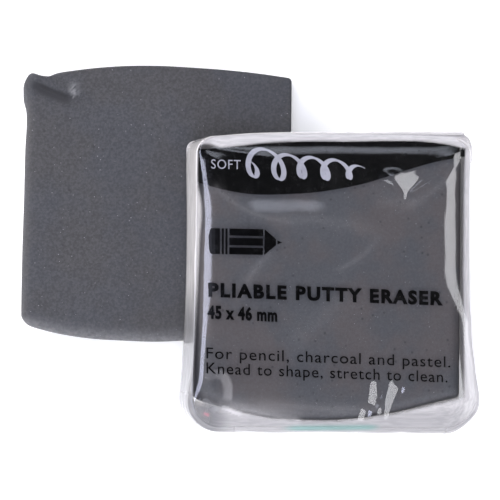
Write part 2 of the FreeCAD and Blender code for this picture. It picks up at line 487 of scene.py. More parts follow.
@dataclass(frozen=True)
class FilmFinish:
    """Clear wrapping film: open where it lies flat, milky where the haze mark says that it is folded, whitish
    along painted sheen streaks laid into that mark, and greyed by painted shade where the shade mark says so.
    """

    name: str
    milk: Colour = (0.80, 0.775, 0.775, 1)
    streak: Colour = (0.73, 0.71, 0.715, 1)
    painted_shade_grey: Colour = (0.22, 0.22, 0.235, 1)
    teal: Colour = (0.36, 0.56, 0.53, 1)
    pink: Colour = (0.75, 0.36, 0.42, 1)
    gloss_roughness: float = 0.05
    mirrored: float = 0.04  # straight on

    def build(self) -> bpy.types.Material:
        """Builds the node material."""
        material, g = new_material(self.name)
        run = g.math("MULTIPLY", g.mark("run"), 0.11)
        sheet = g.add("ShaderNodeCombineXYZ", {"X": run, "Y": g.mark("across"), "Z": 0.0}).outputs[0]
        lines = g.ramp(g.noise(sheet, 2.4, 4.0, 0.6), 0.36, 0.64)
        where = g.add("ShaderNodeTexCoord").outputs["Object"]
        scuffs = g.ramp(g.noise(where, 240, 5, 0.62), 0.55, 0.8, 0.0, 0.005)
        # The haze mark carries milky film and painted sheen streaks
        milk_and_sheen = g.math("MULTIPLY", g.mark("haze"), g.ramp(lines, 0.0, 1.0, 0.88, 1.0))
        cover = g.math("ADD", milk_and_sheen, scuffs)
        colour = g.mix(lines, self.streak, self.milk)
        # Painted shade: the milky film is greyed where less light falls on it
        colour = g.mix(g.mark("shade"), colour, self.painted_shade_grey)
        tint = g.mark("tint")
        colour = g.mix(g.ramp(tint, 0.0, 1.0), colour, self.teal)
        colour = g.mix(g.ramp(tint, -1.0, 0.0, 1.0, 0.0), colour, self.pink)
        normal = g.bump(g.noise(where, 700, 2), 0.10, 0.1 * MM)
        milk = g.plastic(colour, 0.38, 0.3, normal)
        clear = g.add("ShaderNodeBsdfTransparent", {"Color": (1, 1, 1, 1)}).outputs[0]
        body = g.add("ShaderNodeMixShader", {0: cover, 1: clear, 2: milk}).outputs[0]
        # The share that a clear film mirrors, from its straight-on value up to all of it edge on
        facing = g.add("ShaderNodeLayerWeight", {"Blend": 0.5, "Normal": normal}).outputs["Facing"]
        edge_on = g.math("POWER", facing, 5.0)
        mirrored = g.math("MULTIPLY_ADD", edge_on, 1 - self.mirrored, self.mirrored)
        gloss = {"Color": (1, 1, 1, 1), "Roughness": self.gloss_roughness, "Normal": normal}
        shine = g.add("ShaderNodeBsdfGlossy", gloss).outputs[0]
        g.show(g.add("ShaderNodeMixShader", {0: mirrored, 1: body, 2: shine}).outputs[0])
        return material


@dataclass(frozen=True)
class InkFinish:
    """Ink printed on the film, a little uneven in density."""

    name: str
    full: Colour
    thin: Colour

    def build(self) -> bpy.types.Material:
        """Builds the node material."""
        material, g = new_material(self.name)
        where = g.add("ShaderNodeTexCoord").outputs["Object"]
        mottle = g.noise(where, 900, 4)
        colour = g.mix(g.ramp(mottle, 0.45, 0.8), self.full, self.thin)
        roughness = g.ramp(mottle, 0.3, 0.7, 0.20, 0.28)
        g.show(g.plastic(colour, roughness, 0.18, g.bump(mottle, 0.15, 0.03 * MM)))
        return material


@dataclass
class Finishes:
    """Every finish of the set, built once."""

    putty: bpy.types.Material = field(default_factory=lambda: PuttyFinish("putty_rubber").build())
    # Painted light: a lighter copy of the putty for the wrapped slab, partly its own mottled tone and partly
    # brightened to make up for the light that the film holds back
    putty_brightened_under_film: bpy.types.Material = field(default_factory=lambda: PuttyFinish(
        "putty_rubber_brightened", (0.075, 0.078, 0.088, 1), (0.096, 0.085, 0.087, 1)).build())
    film: bpy.types.Material = field(default_factory=lambda: FilmFinish("clear_film").build())
    black: bpy.types.Material = field(default_factory=lambda: InkFinish(
        "black_ink", (0.0012, 0.0012, 0.0015, 1), (0.0035, 0.0035, 0.004, 1)).build())
    white: bpy.types.Material = field(default_factory=lambda: InkFinish(
        "white_ink", (0.40, 0.40, 0.455, 1), (0.31, 0.31, 0.36, 1)).build())
    crumb: bpy.types.Material = field(default_factory=lambda: InkFinish(
        "eraser_crumb", (0.34, 0.34, 0.36, 1), (0.2, 0.2, 0.22, 1)).build())


# --------------------------------------------------------------------------------------- putty slab


@dataclass
class PuttySlab:
    """A slab of putty cut from an extruded strip, with bowed ends and softened edges, in millimetres."""

    name: str
    left: Curve
    right: Curve
    bottom: Curve
    top: Curve
    low: float = 0.0
    high: float = 7.5
    edges: tuple[float, float, float, float] = (1.5, 0.45, 1.5, 0.45)  # left, right, bottom, top
    corner: float = 1.6
    seed: float = 3.0
    foot: float = 0.8  # largest rounding of the lower edge
    pinched: bool = False
    divisions: int = 118

    def outline(self) -> Outline:
        """The slab's outline in plan."""
        return Outline(self.left, self.right, self.bottom, self.top, (self.corner, 0.9, 0.7, self.corner))

    def relief(self, u: Array, v: Array) -> Array:
        """Lumps, stretch lines and, on the bare slab, the pinched corner, as a height on the top face."""
        height = 0.07 * noise_field(u, v, 11, self.seed) + 0.03 * noise_field(u, v, 3.2, self.seed + 5)
        # Stretch lines, each with its U, the V of its ends and its depth
        wander = 0.5 * noise_field(u * 0, v, 7, self.seed + 9)
        for centre, top, bottom, depth in ((-14.3, 14, -6, 0.07), (-13.4, 6, -14, 0.04), (8.0, 4, -12, 0.03)):
            along = smoothstep(bottom, bottom + 5, v) * (1 - smoothstep(top - 5, top, v))
            height -= depth * along * np.exp(-((u - centre - wander) / 0.28) ** 2)
        if self.pinched:
            height += self.pinch(u, v)[0]
        return height

    @staticmethod
    def pinch(u: Array, v: Array) -> tuple[Array, Array]:
        """The fold that runs in from the pinched-up corner.

        Args:
            u, v: positions on the slab.

        Returns:
            Its height, a step with a swell above it and a valley below, and how deep in the valley each
            place is.
        """
        line = bent_line((-21.2, 20.4), (-17.2, 17.4), (-10.4, 16.5), 60)
        nearest = np.full(u.shape, FAR)
        signed, run = np.zeros(u.shape), np.zeros(u.shape)
        for k, (a, b) in enumerate(zip(line[:-1], line[1:])):
            away = np.hypot(u - a[0], v - a[1])
            side = (b[0] - a[0]) * (v - a[1]) - (b[1] - a[1]) * (u - a[0])
            closer = away < nearest
            nearest = np.where(closer, away, nearest)
            signed = np.where(closer, np.sign(side) * away, signed)
            run = np.where(closer, k / (len(line) - 1), run)
        strength = (1 - smoothstep(0.62, 1.0, run)) * (0.35 + 0.65 * smoothstep(0.0, 0.3, run))
        swell = smoothstep(-0.35, 0.45, signed) * np.exp(-np.clip(signed, 0, None) ** 2 / 3.2)
        valley = np.exp(-((signed + 0.55) / 0.9) ** 2)
        tip = mound(u, v, (-20.9, 19.9), (1.5, 1.3))
        return strength * (0.75 * swell - 0.52 * valley) + 0.5 * tip, strength * valley

    def bloom(self, u: Array, v: Array) -> Array:
        """How pale or dark the surface is painted: pale along the bottom and left edges, partly rubbed dirt
        and partly painted light where those rounded edges face the lamps, a pale rub on the pinch, and
        painted shade in the pinch's valley.
        """
        shape = self.outline()
        # Paler along the bottom and left edges: partly dust, partly painted light where the rounded edges
        # face the lamps
        low = np.exp(-(np.clip(v - shape.bottom(u) - 0.2, 0, None) / 1.15) ** 1.6)
        left = 0.32 * np.exp(-np.clip(u - shape.left(v) - 0.1, 0, None) / 0.7)
        pale = np.maximum(low, left) * 0.9
        if self.pinched:
            rub = 1.5 * noise_field(u, v, 0.3, 91) + 0.9
            pale = np.maximum(pale, rub * mound(u, v, (-13.9, 17.8), (0.85, 1.6)))
            # Painted shade darkens the pinch's valley
            pale = pale - 0.9 * self.pinch(u, v)[1]
        return np.clip(pale, -1, 1)

    def ear(self, u: Array, v: Array) -> tuple[Array, Array]:
        """Draws the pinched corner outwards."""
        if not self.pinched:
            return u, v
        pull, dip = mound(u, v, (-20.9, 20.2), (1.2, 1.2)), mound(u, v, (-18.4, 21.0), (1.2, 0.9))
        return u - 0.1 * pull, v + 0.75 * pull - 0.4 * dip

    def build(self, place: Matrix, material: bpy.types.Material) -> bpy.types.Object:
        """Builds the slab as one closed mesh.

        Args:
            place: from the slab's frame to the row's.
            material: its finish.

        Returns:
            The piece.
        """
        steps = graded(self.divisions, 10, 0.10)
        lattice = Lattice.of(steps, steps)
        outer, shape = self.outline(), Draft()
        left, right, bottom, top = self.edges
        inner = outer.inset(left, right, bottom, top, 0.5)
        rim = lattice.rim()
        rim_s, rim_t = lattice.s.ravel()[rim], lattice.t.ravel()[rim]
        out_u, out_v = self.ear(*outer.points(rim_s, rim_t))
        in_u, in_v = inner.points(rim_s, rim_t)
        fillet = np.hypot(out_u - in_u, out_v - in_v)

        face_u, face_v = inner.points(lattice.s, lattice.t)
        relief = self.relief(face_u, face_v)
        top_index = shape.add(face_u, face_v, self.high + relief, bloom=self.bloom(face_u, face_v))
        shape.faces += lattice.faces()
        rim_relief = relief.ravel()[rim]
        last = top_index.ravel()[rim]
        most = (self.high - self.low) * 0.45  # how far down the upper edge's rounding may reach
        for turn in np.radians((15, 30, 45, 60, 75, 90)):
            share = math.sin(turn)
            u, v = in_u + (out_u - in_u) * share, in_v + (out_v - in_v) * share
            drop = np.minimum(fillet * (1 - math.cos(turn)), most)
            w = self.high + rim_relief * (1 - share) - drop
            ring = shape.add(u, v, w, bloom=self.bloom(u, v))
            shape.faces += ring_faces(last, ring)
            last = ring
        upper = self.high - np.minimum(fillet, most)
        foot = np.minimum(fillet, self.foot)
        lower = self.low + foot
        for level in (0.2, 0.4, 0.6, 0.8, 1.0):
            w = upper + (lower - upper) * level
            wobble = 0.05 * noise_field(out_u + out_v * 0.3, w * 2.0, 2.5, self.seed + 2)
            grow = 1 + wobble / 22
            ring = shape.add(out_u * grow, out_v * grow, w, bloom=0.35 * self.bloom(out_u, out_v))
            shape.faces += ring_faces(last, ring)
            last = ring
        for turn in np.radians((30, 60)):
            inward = foot * (1 - math.cos(turn)) / np.maximum(fillet, 0.01)
            u, v = out_u + (in_u - out_u) * inward, out_v + (in_v - out_v) * inward
            ring = shape.add(u, v, self.low + foot * (1 - math.sin(turn)), bloom=0.0)
            shape.faces += ring_faces(last, ring)
            last = ring
        base_index = shape.add(face_u, face_v, np.full(face_u.shape, self.low), bloom=0.0)
        shape.faces += lattice.faces(int(base_index.ravel()[0]), flip=True)
        shape.faces += ring_faces(last, base_index.ravel()[rim])
        return shape.piece(self.name, place, material)


class CrumbScatter:
    """Specks of dust and eraser crumb scattered over a slab by a geometry tree."""

    def __init__(self) -> None:
        """Builds the tree with its named inputs."""
        self.tree = bpy.data.node_groups.new("crumb_scatter", "GeometryNodeTree")
        self.sockets: dict[str, str] = {}
        inside = self.tree.interface
        inside.new_socket("Geometry", in_out="INPUT", socket_type="NodeSocketGeometry")
        for name, kind in (("Density", "Float"), ("Size", "Float"), ("Seed", "Int"), ("Finish", "Material")):
            socket = inside.new_socket(name, in_out="INPUT", socket_type="NodeSocket" + kind)
            self.sockets[name] = socket.identifier
        inside.new_socket("Geometry", in_out="OUTPUT", socket_type="NodeSocketGeometry")
        g = Graph(self.tree)
        given = g.add("NodeGroupInput").outputs
        normal = g.add("GeometryNodeInputNormal").outputs[0]
        upward = g.add("ShaderNodeSeparateXYZ", {0: normal}).outputs["Z"]
        facing = g.add("FunctionNodeCompare", {0: upward, 1: 0.8}, operation="GREATER_THAN").outputs[0]
        spots = g.add("GeometryNodeDistributePointsOnFaces", {
            "Mesh": given["Geometry"], "Selection": facing, "Density": given["Density"],
            "Seed": given["Seed"]})
        grain = g.add("GeometryNodeMeshIcoSphere", {"Radius": 1.0, "Subdivisions": 1}).outputs["Mesh"]
        size = g.add("FunctionNodeRandomValue", {2: 0.35, 3: 1.0, "Seed": given["Seed"]}, data_type="FLOAT")
        spread = g.math("MULTIPLY", size.outputs[1], given["Size"])
        scale = g.add("ShaderNodeCombineXYZ", {
            "X": spread, "Y": g.math("MULTIPLY", spread, 0.8),
            "Z": g.math("MULTIPLY", spread, 0.35)}).outputs[0]
        placed = g.add("GeometryNodeInstanceOnPoints", {
            "Points": spots.outputs["Points"], "Instance": grain, "Rotation": spots.outputs["Rotation"],
            "Scale": scale}).outputs[0]
        made = g.add("GeometryNodeRealizeInstances", {0: placed}).outputs[0]
        dressed = g.add("GeometryNodeSetMaterial", {"Geometry": made, "Material": given["Finish"]}).outputs[0]
        g.add("NodeGroupOutput", {0: dressed})

    def scatter(self, host: bpy.types.Object, name: str, density: float, size: float, seed: int,
                finish: bpy.types.Material) -> bpy.types.Object:
        """Scatters specks over the upward side of a piece.

        Args:
            host: the piece to scatter on.
            name: the new piece's name.
            density: specks to the square metre.
            size: largest half width of a speck, in metres.
            seed: picks the pattern.
            finish: the specks' material.

        Returns:
            The specks as one plain mesh.
        """
        specks = bpy.data.objects.new(name, host.data.copy())
        bpy.context.scene.collection.objects.link(specks)
        nodes = specks.modifiers.new("scatter", "NODES")
        nodes.node_group = self.tree
        for given, value in (("Density", density), ("Size", size), ("Seed", seed), ("Finish", finish)):
            nodes[self.sockets[given]] = value
        return plain_mesh(specks)


# ------------------------------------------------------------------------------------- film wrapper


@dataclass(frozen=True)
class Facet:
    """A small tilted patch pressed into the front film, which catches one of the lights."""

    centre: Point
    half_size: Point
    slope: Point
    turn: float = 0.0
    taper: float = 0.0  # how much narrower its lower end is
    fade: Point = (3.8, 1.6)  # how far out it levels off across and along, in half sizes

    def height(self, u: Array, v: Array) -> Array:
        """Height of the patch over the film."""
        turn = math.radians(self.turn)
        du, dv = u - self.centre[0], v - self.centre[1]
        a = du * math.cos(turn) + dv * math.sin(turn)
        b = dv * math.cos(turn) - du * math.sin(turn)
        width = self.half_size[0] * (1 + self.taper * np.clip(b / self.half_size[1], -1, 1))
        width = np.maximum(width, 0.12)
        inside = 1 - smoothstep(1.0, self.fade[0], np.abs(a) / width)
        inside *= 1 - smoothstep(1.0, self.fade[1], np.abs(b) / self.half_size[1])
        return inside * (self.slope[0] * du + self.slope[1] * dv)


@dataclass(frozen=True)
class Crease:
    """A sharp ridge or groove in the film along a bent run, fading towards its end."""

    start: Point
    bend: Point
    end: Point
    height: float
    width: float
    fade: float = 0.5  # share of the run after which it fades
    flat: bool = False  # level across its width, with clear edges

    def lift(self, u: Array, v: Array) -> Array:
        """Height of the crease over the film."""
        line = bent_line(self.start, self.bend, self.end, 14)
        nearest, run = np.full(u.shape, FAR), np.zeros(u.shape)
        for k, (p, q) in enumerate(zip(line[:-1], line[1:])):
            step = q - p
            share = np.clip(((u - p[0]) * step[0] + (v - p[1]) * step[1]) / (step @ step), 0, 1)
            away = np.hypot(u - p[0] - share * step[0], v - p[1] - share * step[1])
            closer = away < nearest
            nearest = np.where(closer, away, nearest)
            run = np.where(closer, (k + share) / (len(line) - 1), run)
        across = np.exp(-nearest / self.width)
        if self.flat:
            across = 1 - smoothstep(0.75, 1.15, nearest / self.width)
        return self.height * (1 - smoothstep(self.fade, 1.0, run)) * across


@dataclass(frozen=True)
class Skirt:
    """The film's rim and how it turns down from there, at every point round the front panel."""

    index: Array
    u: Array
    v: Array
    w: Array
    out_u: Array
    out_v: Array
    roll: Array
    bend_share: float = 0.35  # how much of the way down is taken by the bend

    def part(self, keep: Array) -> "Skirt":
        """The stretch of the rim where keep is true, in order along the rim."""
        n = len(keep)
        start = next(k for k in range(n) if keep[k] and not keep[k - 1])
        order = [(start + k) % n for k in range(n) if keep[(start + k) % n]]
        return Skirt(*(values[order] for values in
                       (self.index, self.u, self.v, self.w, self.out_u, self.out_v, self.roll)))

    def along(self) -> Array:
        """How far along its side of the panel each point is."""
        return np.where(np.abs(self.out_u) > np.abs(self.out_v), self.v, self.u)

    def row(self, share: float, foot_w: float, creep: Callable[[Array, Array], Array],
            seed: float) -> tuple[Array, Array, Array]:
        """One row of points on the way down.

        Args:
            share: 0 at the rim and 1 at the foot.
            foot_w: height of the foot.
            creep: how far outside the rim the foot is, at each U and V.
            seed: picks the crumples.

        Returns:
            U, V and W along the row.
        """
        turn = min(share / self.bend_share, 1.0) * math.pi / 2
        below = max(share - self.bend_share, 0.0) / (1 - self.bend_share)
        out = self.roll * math.sin(turn)
        shoulder = self.w - self.roll * (1 - math.cos(turn))
        w = shoulder + (foot_w - shoulder) * below
        out = out + (creep(self.u, self.v) - out) * below ** 1.6
        place = self.u + self.v
        crumple = noise_field(place * 0.5, self.u * 0 + share * 7, 2.6, seed)
        crumple = crumple + 0.5 * noise_field(place * 0.25, self.u * 0 + share * 21, 2.0, seed + 3)
        out = out + 0.16 * crumple * math.sin(math.pi * min(share * 1.25, 1)) * (0.4 + self.roll)
        return self.u + self.out_u * out, self.v + self.out_v * out, w


@dataclass
class FilmWrapper:
    """The clear wrapper, in its own frame and in millimetres."""

    finishes: Finishes
    place: Matrix
    left: Curve = smooth_curve((-26, -24.0), (-20, -23.9), (-15, -23.65), (-10.7, -23.45), (-4, -23.2),
                               (0, -23.1), (14, -22.95), (20, -23.1), (24, -23.1))
    right: Curve = smooth_curve((-26, 23.6), (-23, 24.1), (-21, 24.65), (-18, 24.75), (-15, 24.5),
                                (-11, 24.0), (-7, 23.82), (-4, 23.85), (0, 24.05), (14, 24.0), (24, 24.2))
    top: Curve = smooth_curve((-24, 22.5), (-20, 22.75), (-15, 23.05), (-9, 23.25), (-4, 23.3), (25, 23.3))
    bottom: Curve = smooth_curve((-24, -24.6), (-12, -24.85), (0, -25.0), (14, -25.4), (26, -25.4))
    # How far outside the rim the left wall's foot is, and how far past the slab the film stays clear there
    left_creep: Curve = smooth_curve((-26, 0.6), (-21, 0.5), (-17.3, 0.26), (-15, 0.18), (-10.7, 0.09),
                                     (0, 0.02), (18, 0.0), (24, -0.25))
    left_slack: Curve = smooth_curve((-24, 1.0), (-17, 0.9), (-10.7, 0.6), (-4, 0.3), (5, 0.05),
                                     (12.5, 0.05), (14.5, 0.5), (24, 0.6))
    corners: tuple[float, float, float, float] = (4.6, 4.1, 1.9, 2.7)
    front: float = 8.15  # level of the front film
    back: float = 0.3  # level of the walls' feet
    sheet: float = 0.04  # the film's thickness
    flap_end: float = 1.9  # level of the outer flaps' free edges
    swell_height: float = 0.54  # of the fullness below the header band
    dip_depth: float = 0.315  # of the groove along the upper rim
    wall_ends: tuple[float, float] = (-19.5, -21.5)  # lower ends of the left and right walls
    flap_ends: tuple[float, float] = (-21.95, 22.7)  # left and right ends of the top flap
    fold_ends: tuple[float, float] = (-16.65, 19.4)  # left and right ends of the bottom flap
    facets: tuple[Facet, ...] = (
        Facet((12.5, 14.8), (1.0, 1.2), (-0.17, 0.035), 0, 0.75, (3.0, 2.8)),
        Facet((6.8, -19.5), (0.5, 1.5), (-0.17, 0.0), -4, -0.2),
        Facet((9.5, -20.8), (0.5, 2.5), (-0.17, 0.0), -31),
        Facet((7.3, -22.6), (0.4, 0.9), (-0.17, 0.0), -8),
        Facet((4.8, -23.3), (0.35, 1.0), (-0.17, 0.0), -28),
    )
    creases: tuple[Crease, ...] = (
        Crease((-22.4, 20.9), (-9, 19.5), (3.0, 15.6), 0.055, 0.30),
        Crease((-22.4, 20.7), (-14, 14.6), (-6.0, 12.4), 0.06, 0.35),
        Crease((-22.3, 20.5), (-19.5, 14.5), (-14.5, 9.0), 0.05, 0.30),
        Crease((-22.4, 21.2), (-16.0, 20.6), (-9.0, 19.2), 0.04, 0.18),
        Crease((23.2, 20.7), (14.0, 18.4), (6.0, 13.6), 0.05, 0.40),
        Crease((23.3, 20.5), (18.0, 14.5), (14.0, 8.0), 0.05, 0.40),
        Crease((-22.6, -20.3), (-18.0, -21.2), (-13.0, -23.5), 0.12, 0.26),
        Crease((-21.5, -22.4), (-16.0, -23.2), (-8.0, -24.4), 0.12, 0.26),
        Crease((-20.8, -17.2), (-17.0, -15.8), (-17.6, -20.2), 0.05, 0.35, 0.8),
        Crease((22.5, -21.8), (16.0, -22.6), (8.0, -24.3), 0.12, 0.26),
        Crease((24.0, -20.4), (20.5, -22.8), (15.0, -24.5), 0.10, 0.26),
        Crease((-14.0, -24.0), (0.0, -24.6), (14.0, -24.0), 0.12, 0.20, 0.8),
    )
    # Whitish streaks laid into the haze mark. Most are painted sheens that stand in for soft reflections on
    # the film, the hook at the bottom left among them; the small flat patches and the broad band low at the
    # bottom left are milky crumples of the film.
    sheens_and_milky_patches: tuple[Crease, ...] = (
        Crease((-11.0, 3.5), (-15.5, -0.5), (-17.5, -6.5), 0.040, 0.6),
        Crease((-9.0, 9.3), (4.0, 9.6), (11.0, 5.0), 0.024, 1.0),
        Crease((1.0, 1.0), (6.0, 3.0), (9.0, 8.0), 0.030, 0.6),
        Crease((-20.0, 14.5), (-15.0, 8.6), (-3.0, 8.4), 0.040, 0.4),
        Crease((-6.0, -10.0), (0.0, -6.0), (4.0, -1.0), 0.020, 1.5),
        Crease((22.0, 19.0), (17.0, 12.0), (8.0, 9.5), 0.026, 0.5),
        Crease((-21.2, -16.3), (-17.4, -15.3), (-18.2, -20.8), 0.16, 0.80, 0.9, True),
        Crease((-20.6, -21.0), (-14.0, -22.2), (-5.0, -24.3), 0.26, 0.80, 0.9),
        Crease((-21.9, -20.6), (-21.0, -21.4), (-19.9, -22.2), 0.34, 0.6, 0.9, True),
        Crease((-18.8, -21.6), (-17.4, -22.1), (-15.4, -23.1), 0.30, 0.35, 0.8, True),
        Crease((-12.0, -21.0), (-2.0, -22.3), (8.0, -22.0), 0.050, 0.8, 0.7),
        Crease((14.0, 12.0), (9.0, 13.0), (6.0, 11.0), 0.025, 1.0),
    )
    round_widths: tuple[float, float, float, float] = (6.0, 6.0, 1.5, 1.5)  # left, right, bottom, top
    round_drops: tuple[float, float, float, float] = (1.55, 1.8, 0.1, 0.02)
    pink_spots: tuple[Point, ...] = ((-22.8, -20.9), (-22.0, -22.6), (-21.5, -22.8))

    def __post_init__(self) -> None:
        """Works out the front panel, which everything else hangs from."""
        self.lattice = Lattice.of(graded(150, 16, 0.15), graded(146, 16, 0.15))
        self.outline = Outline(self.left, self.right, self.bottom, self.top, self.corners)
        self.u, self.v = self.outline.points(self.lattice.s, self.lattice.t)
        self.w = self.front_height()
        points = np.stack([self.u.ravel(), self.v.ravel(), self.w.ravel()], 1)
        self.surface = BVHTree.FromPolygons(points.tolist(), self.lattice.faces())
        self.skirt = self.turn_down()

    def outside_slab(self, u: Array, v: Array) -> Array:
        """Distance past the wrapped slab's edge, in millimetres, negative over the slab."""
        slab = WRAPPED_SLAB
        sides = (u - slab.right(v), slab.left(v) - u, v - slab.top(u), slab.bottom(u) - v)
        return np.maximum.reduce(sides)

    def from_rim(self) -> Array:
        """Distance of each grid point from the front panel's rim."""
        rim = self.lattice.rim()
        rim_u, rim_v = self.u.ravel()[rim], self.v.ravel()[rim]
        nearest = np.full(self.u.shape, FAR)
        for a, b in zip(rim_u, rim_v):
            nearest = np.minimum(nearest, (self.u - a) ** 2 + (self.v - b) ** 2)
        return np.sqrt(nearest)

    def side_mix(self, values: Sequence[Array | float]) -> Array:
        """A value for each side (left, right, bottom, top), blended round the corners."""
        s, t = self.lattice.s, self.lattice.t
        shares = [((1 - s) / 2) ** 14, ((1 + s) / 2) ** 14, ((1 - t) / 2) ** 14, ((1 + t) / 2) ** 14]
        return sum(k * value for k, value in zip(shares, values)) / sum(shares)

    def relief(self) -> Array:
        """Waves, creases and facets of the front film over its flat level."""
        u, v = self.u, self.v
        # Broad waves, small waves, and ripples that run across
        height = 0.07 * noise_field(u, v * 0.8, 13, 21) + 0.02 * noise_field(u, v, 4.0, 27)
        height += 0.02 * noise_field(u * 0.5, v * 2.2, 5.0, 33)
        for crease in self.creases:
            height += crease.lift(u, v)
        for facet in self.facets:
            height += facet.height(u, v)
        # The fullness below the header band, which ends at the right in a slope, longer low down
        reach = np.clip((u + 4.5) / (9.3 + 4.0 * (1 - smoothstep(8, 11.5, v))), 0, 1)
        swell = smoothstep(-19.5, -13.0, u) * (1 - reach * reach * (3 - 2 * reach))
        rise = (1 - smoothstep(9.2, 13.7, v)) * smoothstep(0.0, 9.8, v)
        height += self.swell_height * swell * rise
        # The groove along the upper rim
        dip = np.exp(-((v - self.top(u) + 1.5) / 1.55) ** 2)
        return height - self.dip_depth * dip

    def front_height(self) -> Array:
        """Height of the front film at each grid point."""
        away = self.from_rim()
        # The rounding narrows and flattens towards the top left, and at both bottom corners
        fade_left, fade_right = smoothstep(-22.5, -16, self.v), smoothstep(-23.5, -17, self.v)
        narrow = smoothstep(-9, 1, self.v)
        taper = 1 - 0.55 * smoothstep(9, 20.5, self.v)
        left, right, bottom, top = self.round_widths
        low = 1 - smoothstep(-14, 0, self.v)
        left -= 2.4 * low
        width = self.side_mix((left * taper, right * (0.5 + 0.5 * narrow), bottom, top))
        left, right, bottom, top = self.round_drops
        left -= 0.5 * low
        right = right * fade_right * (0.1 + 0.9 * narrow)
        depth = self.side_mix((left * fade_left * taper, right, bottom, top))
        share = np.clip(1 - away / width, 0, 1)
        drop = depth * (1 - np.sqrt(np.maximum(1 - share * share, 0)))
        calm = smoothstep(0.0, 1.5, away)
        return self.front - drop + self.relief() * calm + 0.04 * calm

    def turn_down(self) -> Skirt:
        """The rim of the front panel, its outward directions, and how widely it rolls over."""
        rim = self.lattice.rim()
        u, v, w = (values.ravel()[rim] for values in (self.u, self.v, self.w))
        du, dv = np.roll(u, -1) - np.roll(u, 1), np.roll(v, -1) - np.roll(v, 1)
        length = np.hypot(du, dv)
        low = 1 - smoothstep(-22.5, -15.5, v)
        return Skirt(rim, u, v, w, dv / length, -du / length, 0.15 + 0.8 * low)

    def creep(self, u: Array, v: Array) -> Array:
        """How far outside the rim the back edge of the film is."""
        right = 0.05 + 0.75 * (1 - smoothstep(-24, -17, v))
        left = self.left_creep(v)
        return left + (right - left) * smoothstep(-16, -4, u)

    def haze_over(self, u: Array, v: Array) -> Array:
        """How milky the front film is: clear over the slab, milky past its edge, with painted sheen streaks
        and milky patches laid on.
        """
        # The milky part begins a little past the slab's edge, raggedly along the bottom
        ragged = 0.25 * noise_field(u, v, 1.6, 61) * (1 - smoothstep(-22, -19, v))
        slack = self.left_slack(v) * (1 - smoothstep(-21.5, -19, u)) + 0.2 * smoothstep(19, 21.5, v)
        past = smoothstep(-0.15, 0.4, self.outside_slab(u, v) + ragged - slack)
        scuffs = 0.006 * np.clip(noise_field(u * 0.7 + v * 0.7, (v - u) * 0.25, 3.0, 67), 0, 1)
        # It is thinner at the left and along the bottom
        level = 0.86 - 0.36 * (1 - smoothstep(-22.6, -20, u)) - 0.14 * (1 - smoothstep(-22, -19, v))
        # Painted sheen streaks and milky patches, added to the haze
        sheen_and_milk = sum(crease.lift(u, v) for crease in self.sheens_and_milky_patches)
        return scuffs + sheen_and_milk + level * past

    @staticmethod
    def shade_over(u: Array, v: Array) -> Array:
        """How much painted shade greys the milky film, where less light falls on it."""
        low_left = (1 - smoothstep(-9, 1, v)) * (1 - smoothstep(-21, -17, u))
        return 0.84 * low_left + 0.26 * (1 - smoothstep(-23.5, -22, v)) * (1 - low_left)

    def tint_over(self, u: Array, v: Array) -> Array:
        """Traces of colour on the bottom rim: teal above zero and pink below."""
        teal = smoothstep(-10, -6, u) * (1 - smoothstep(6, 9, u)) * np.exp(-((v + 25.15) / 0.55) ** 2)
        spots = sum(mound(u, v, spot, (0.3, 0.3)) for spot in self.pink_spots)
        return 0.9 * teal - np.clip(spots, 0, 1)

    def marks(self, u: Array, v: Array) -> dict[str, Array]:
        """Colour marks of the film at each place: traces of colour, and painted shade."""
        return {"tint": self.tint_over(u, v), "shade": self.shade_over(u, v)}

    def hang(self, draft: Draft, stretch: Skirt, foot_w: float, rows: int, last: Array, seed: float,
             haze: float = 0.94) -> None:
        """Hangs rows of film from a stretch of the rim.

        Args:
            draft: the piece in the making.
            stretch: the stretch of the rim.
            foot_w: height of the lowest row.
            rows: how many rows.
            last: the draft's indices of the points that the first row joins.
            seed: picks the crumples.
            haze: how milky it is.
        """
        for share in np.linspace(0, 1, rows + 1)[1:]:
            u, v, w = stretch.row(share, foot_w, self.creep, seed)
            marks = self.marks(u, v)
            ring = draft.add(u, v, w, haze=haze, run=stretch.along(), across=30 + share * 9, **marks)
            draft.faces += ring_faces(last, ring, closed=False)
            last = ring

    def build_tube(self) -> bpy.types.Object:
        """Builds the front panel with both side walls, as the one sheet that they are."""
        draft, rim = Draft(), self.skirt
        run = self.side_mix((self.v, self.v, self.u, self.u))
        index = draft.add(self.u, self.v, self.w, haze=self.haze_over(self.u, self.v), run=run,
                          across=self.from_rim(), **self.marks(self.u, self.v))
        draft.faces += self.lattice.faces()
        for low, side, turned in zip(self.wall_ends, (rim.u < 0, rim.u > 0), (0.6, 0.1)):
            upright = np.abs(rim.out_u) > np.where(rim.v < 0, 0.75, turned)
            stretch = rim.part(side & upright & (rim.v > low))
            self.hang(draft, stretch, self.back, 18, index.ravel()[stretch.index], 41 + low)
        return thicken(draft.piece("film_front_and_sides", self.place, self.finishes.film), self.sheet)

    def build_hanging(self, name: str, keep: Array, foot_w: float, seed: float) -> bpy.types.Object:
        """Builds a piece of film that hangs from the rim on its own.

        Args:
            name: the piece's name.
            keep: where along the rim it hangs.
            foot_w: height of its free edge.
            seed: picks the crumples.

        Returns:
            The piece.
        """
        draft = Draft()
        stretch = self.skirt.part(keep)
        haze = 0.82
        root = draft.add(stretch.u, stretch.v, stretch.w, haze=haze, run=stretch.along(), across=30,
                         **self.marks(stretch.u, stretch.v))
        self.hang(draft, stretch, foot_w, 20, root, seed, haze)
        return thicken(draft.piece(name, self.place, self.finishes.film), self.sheet)

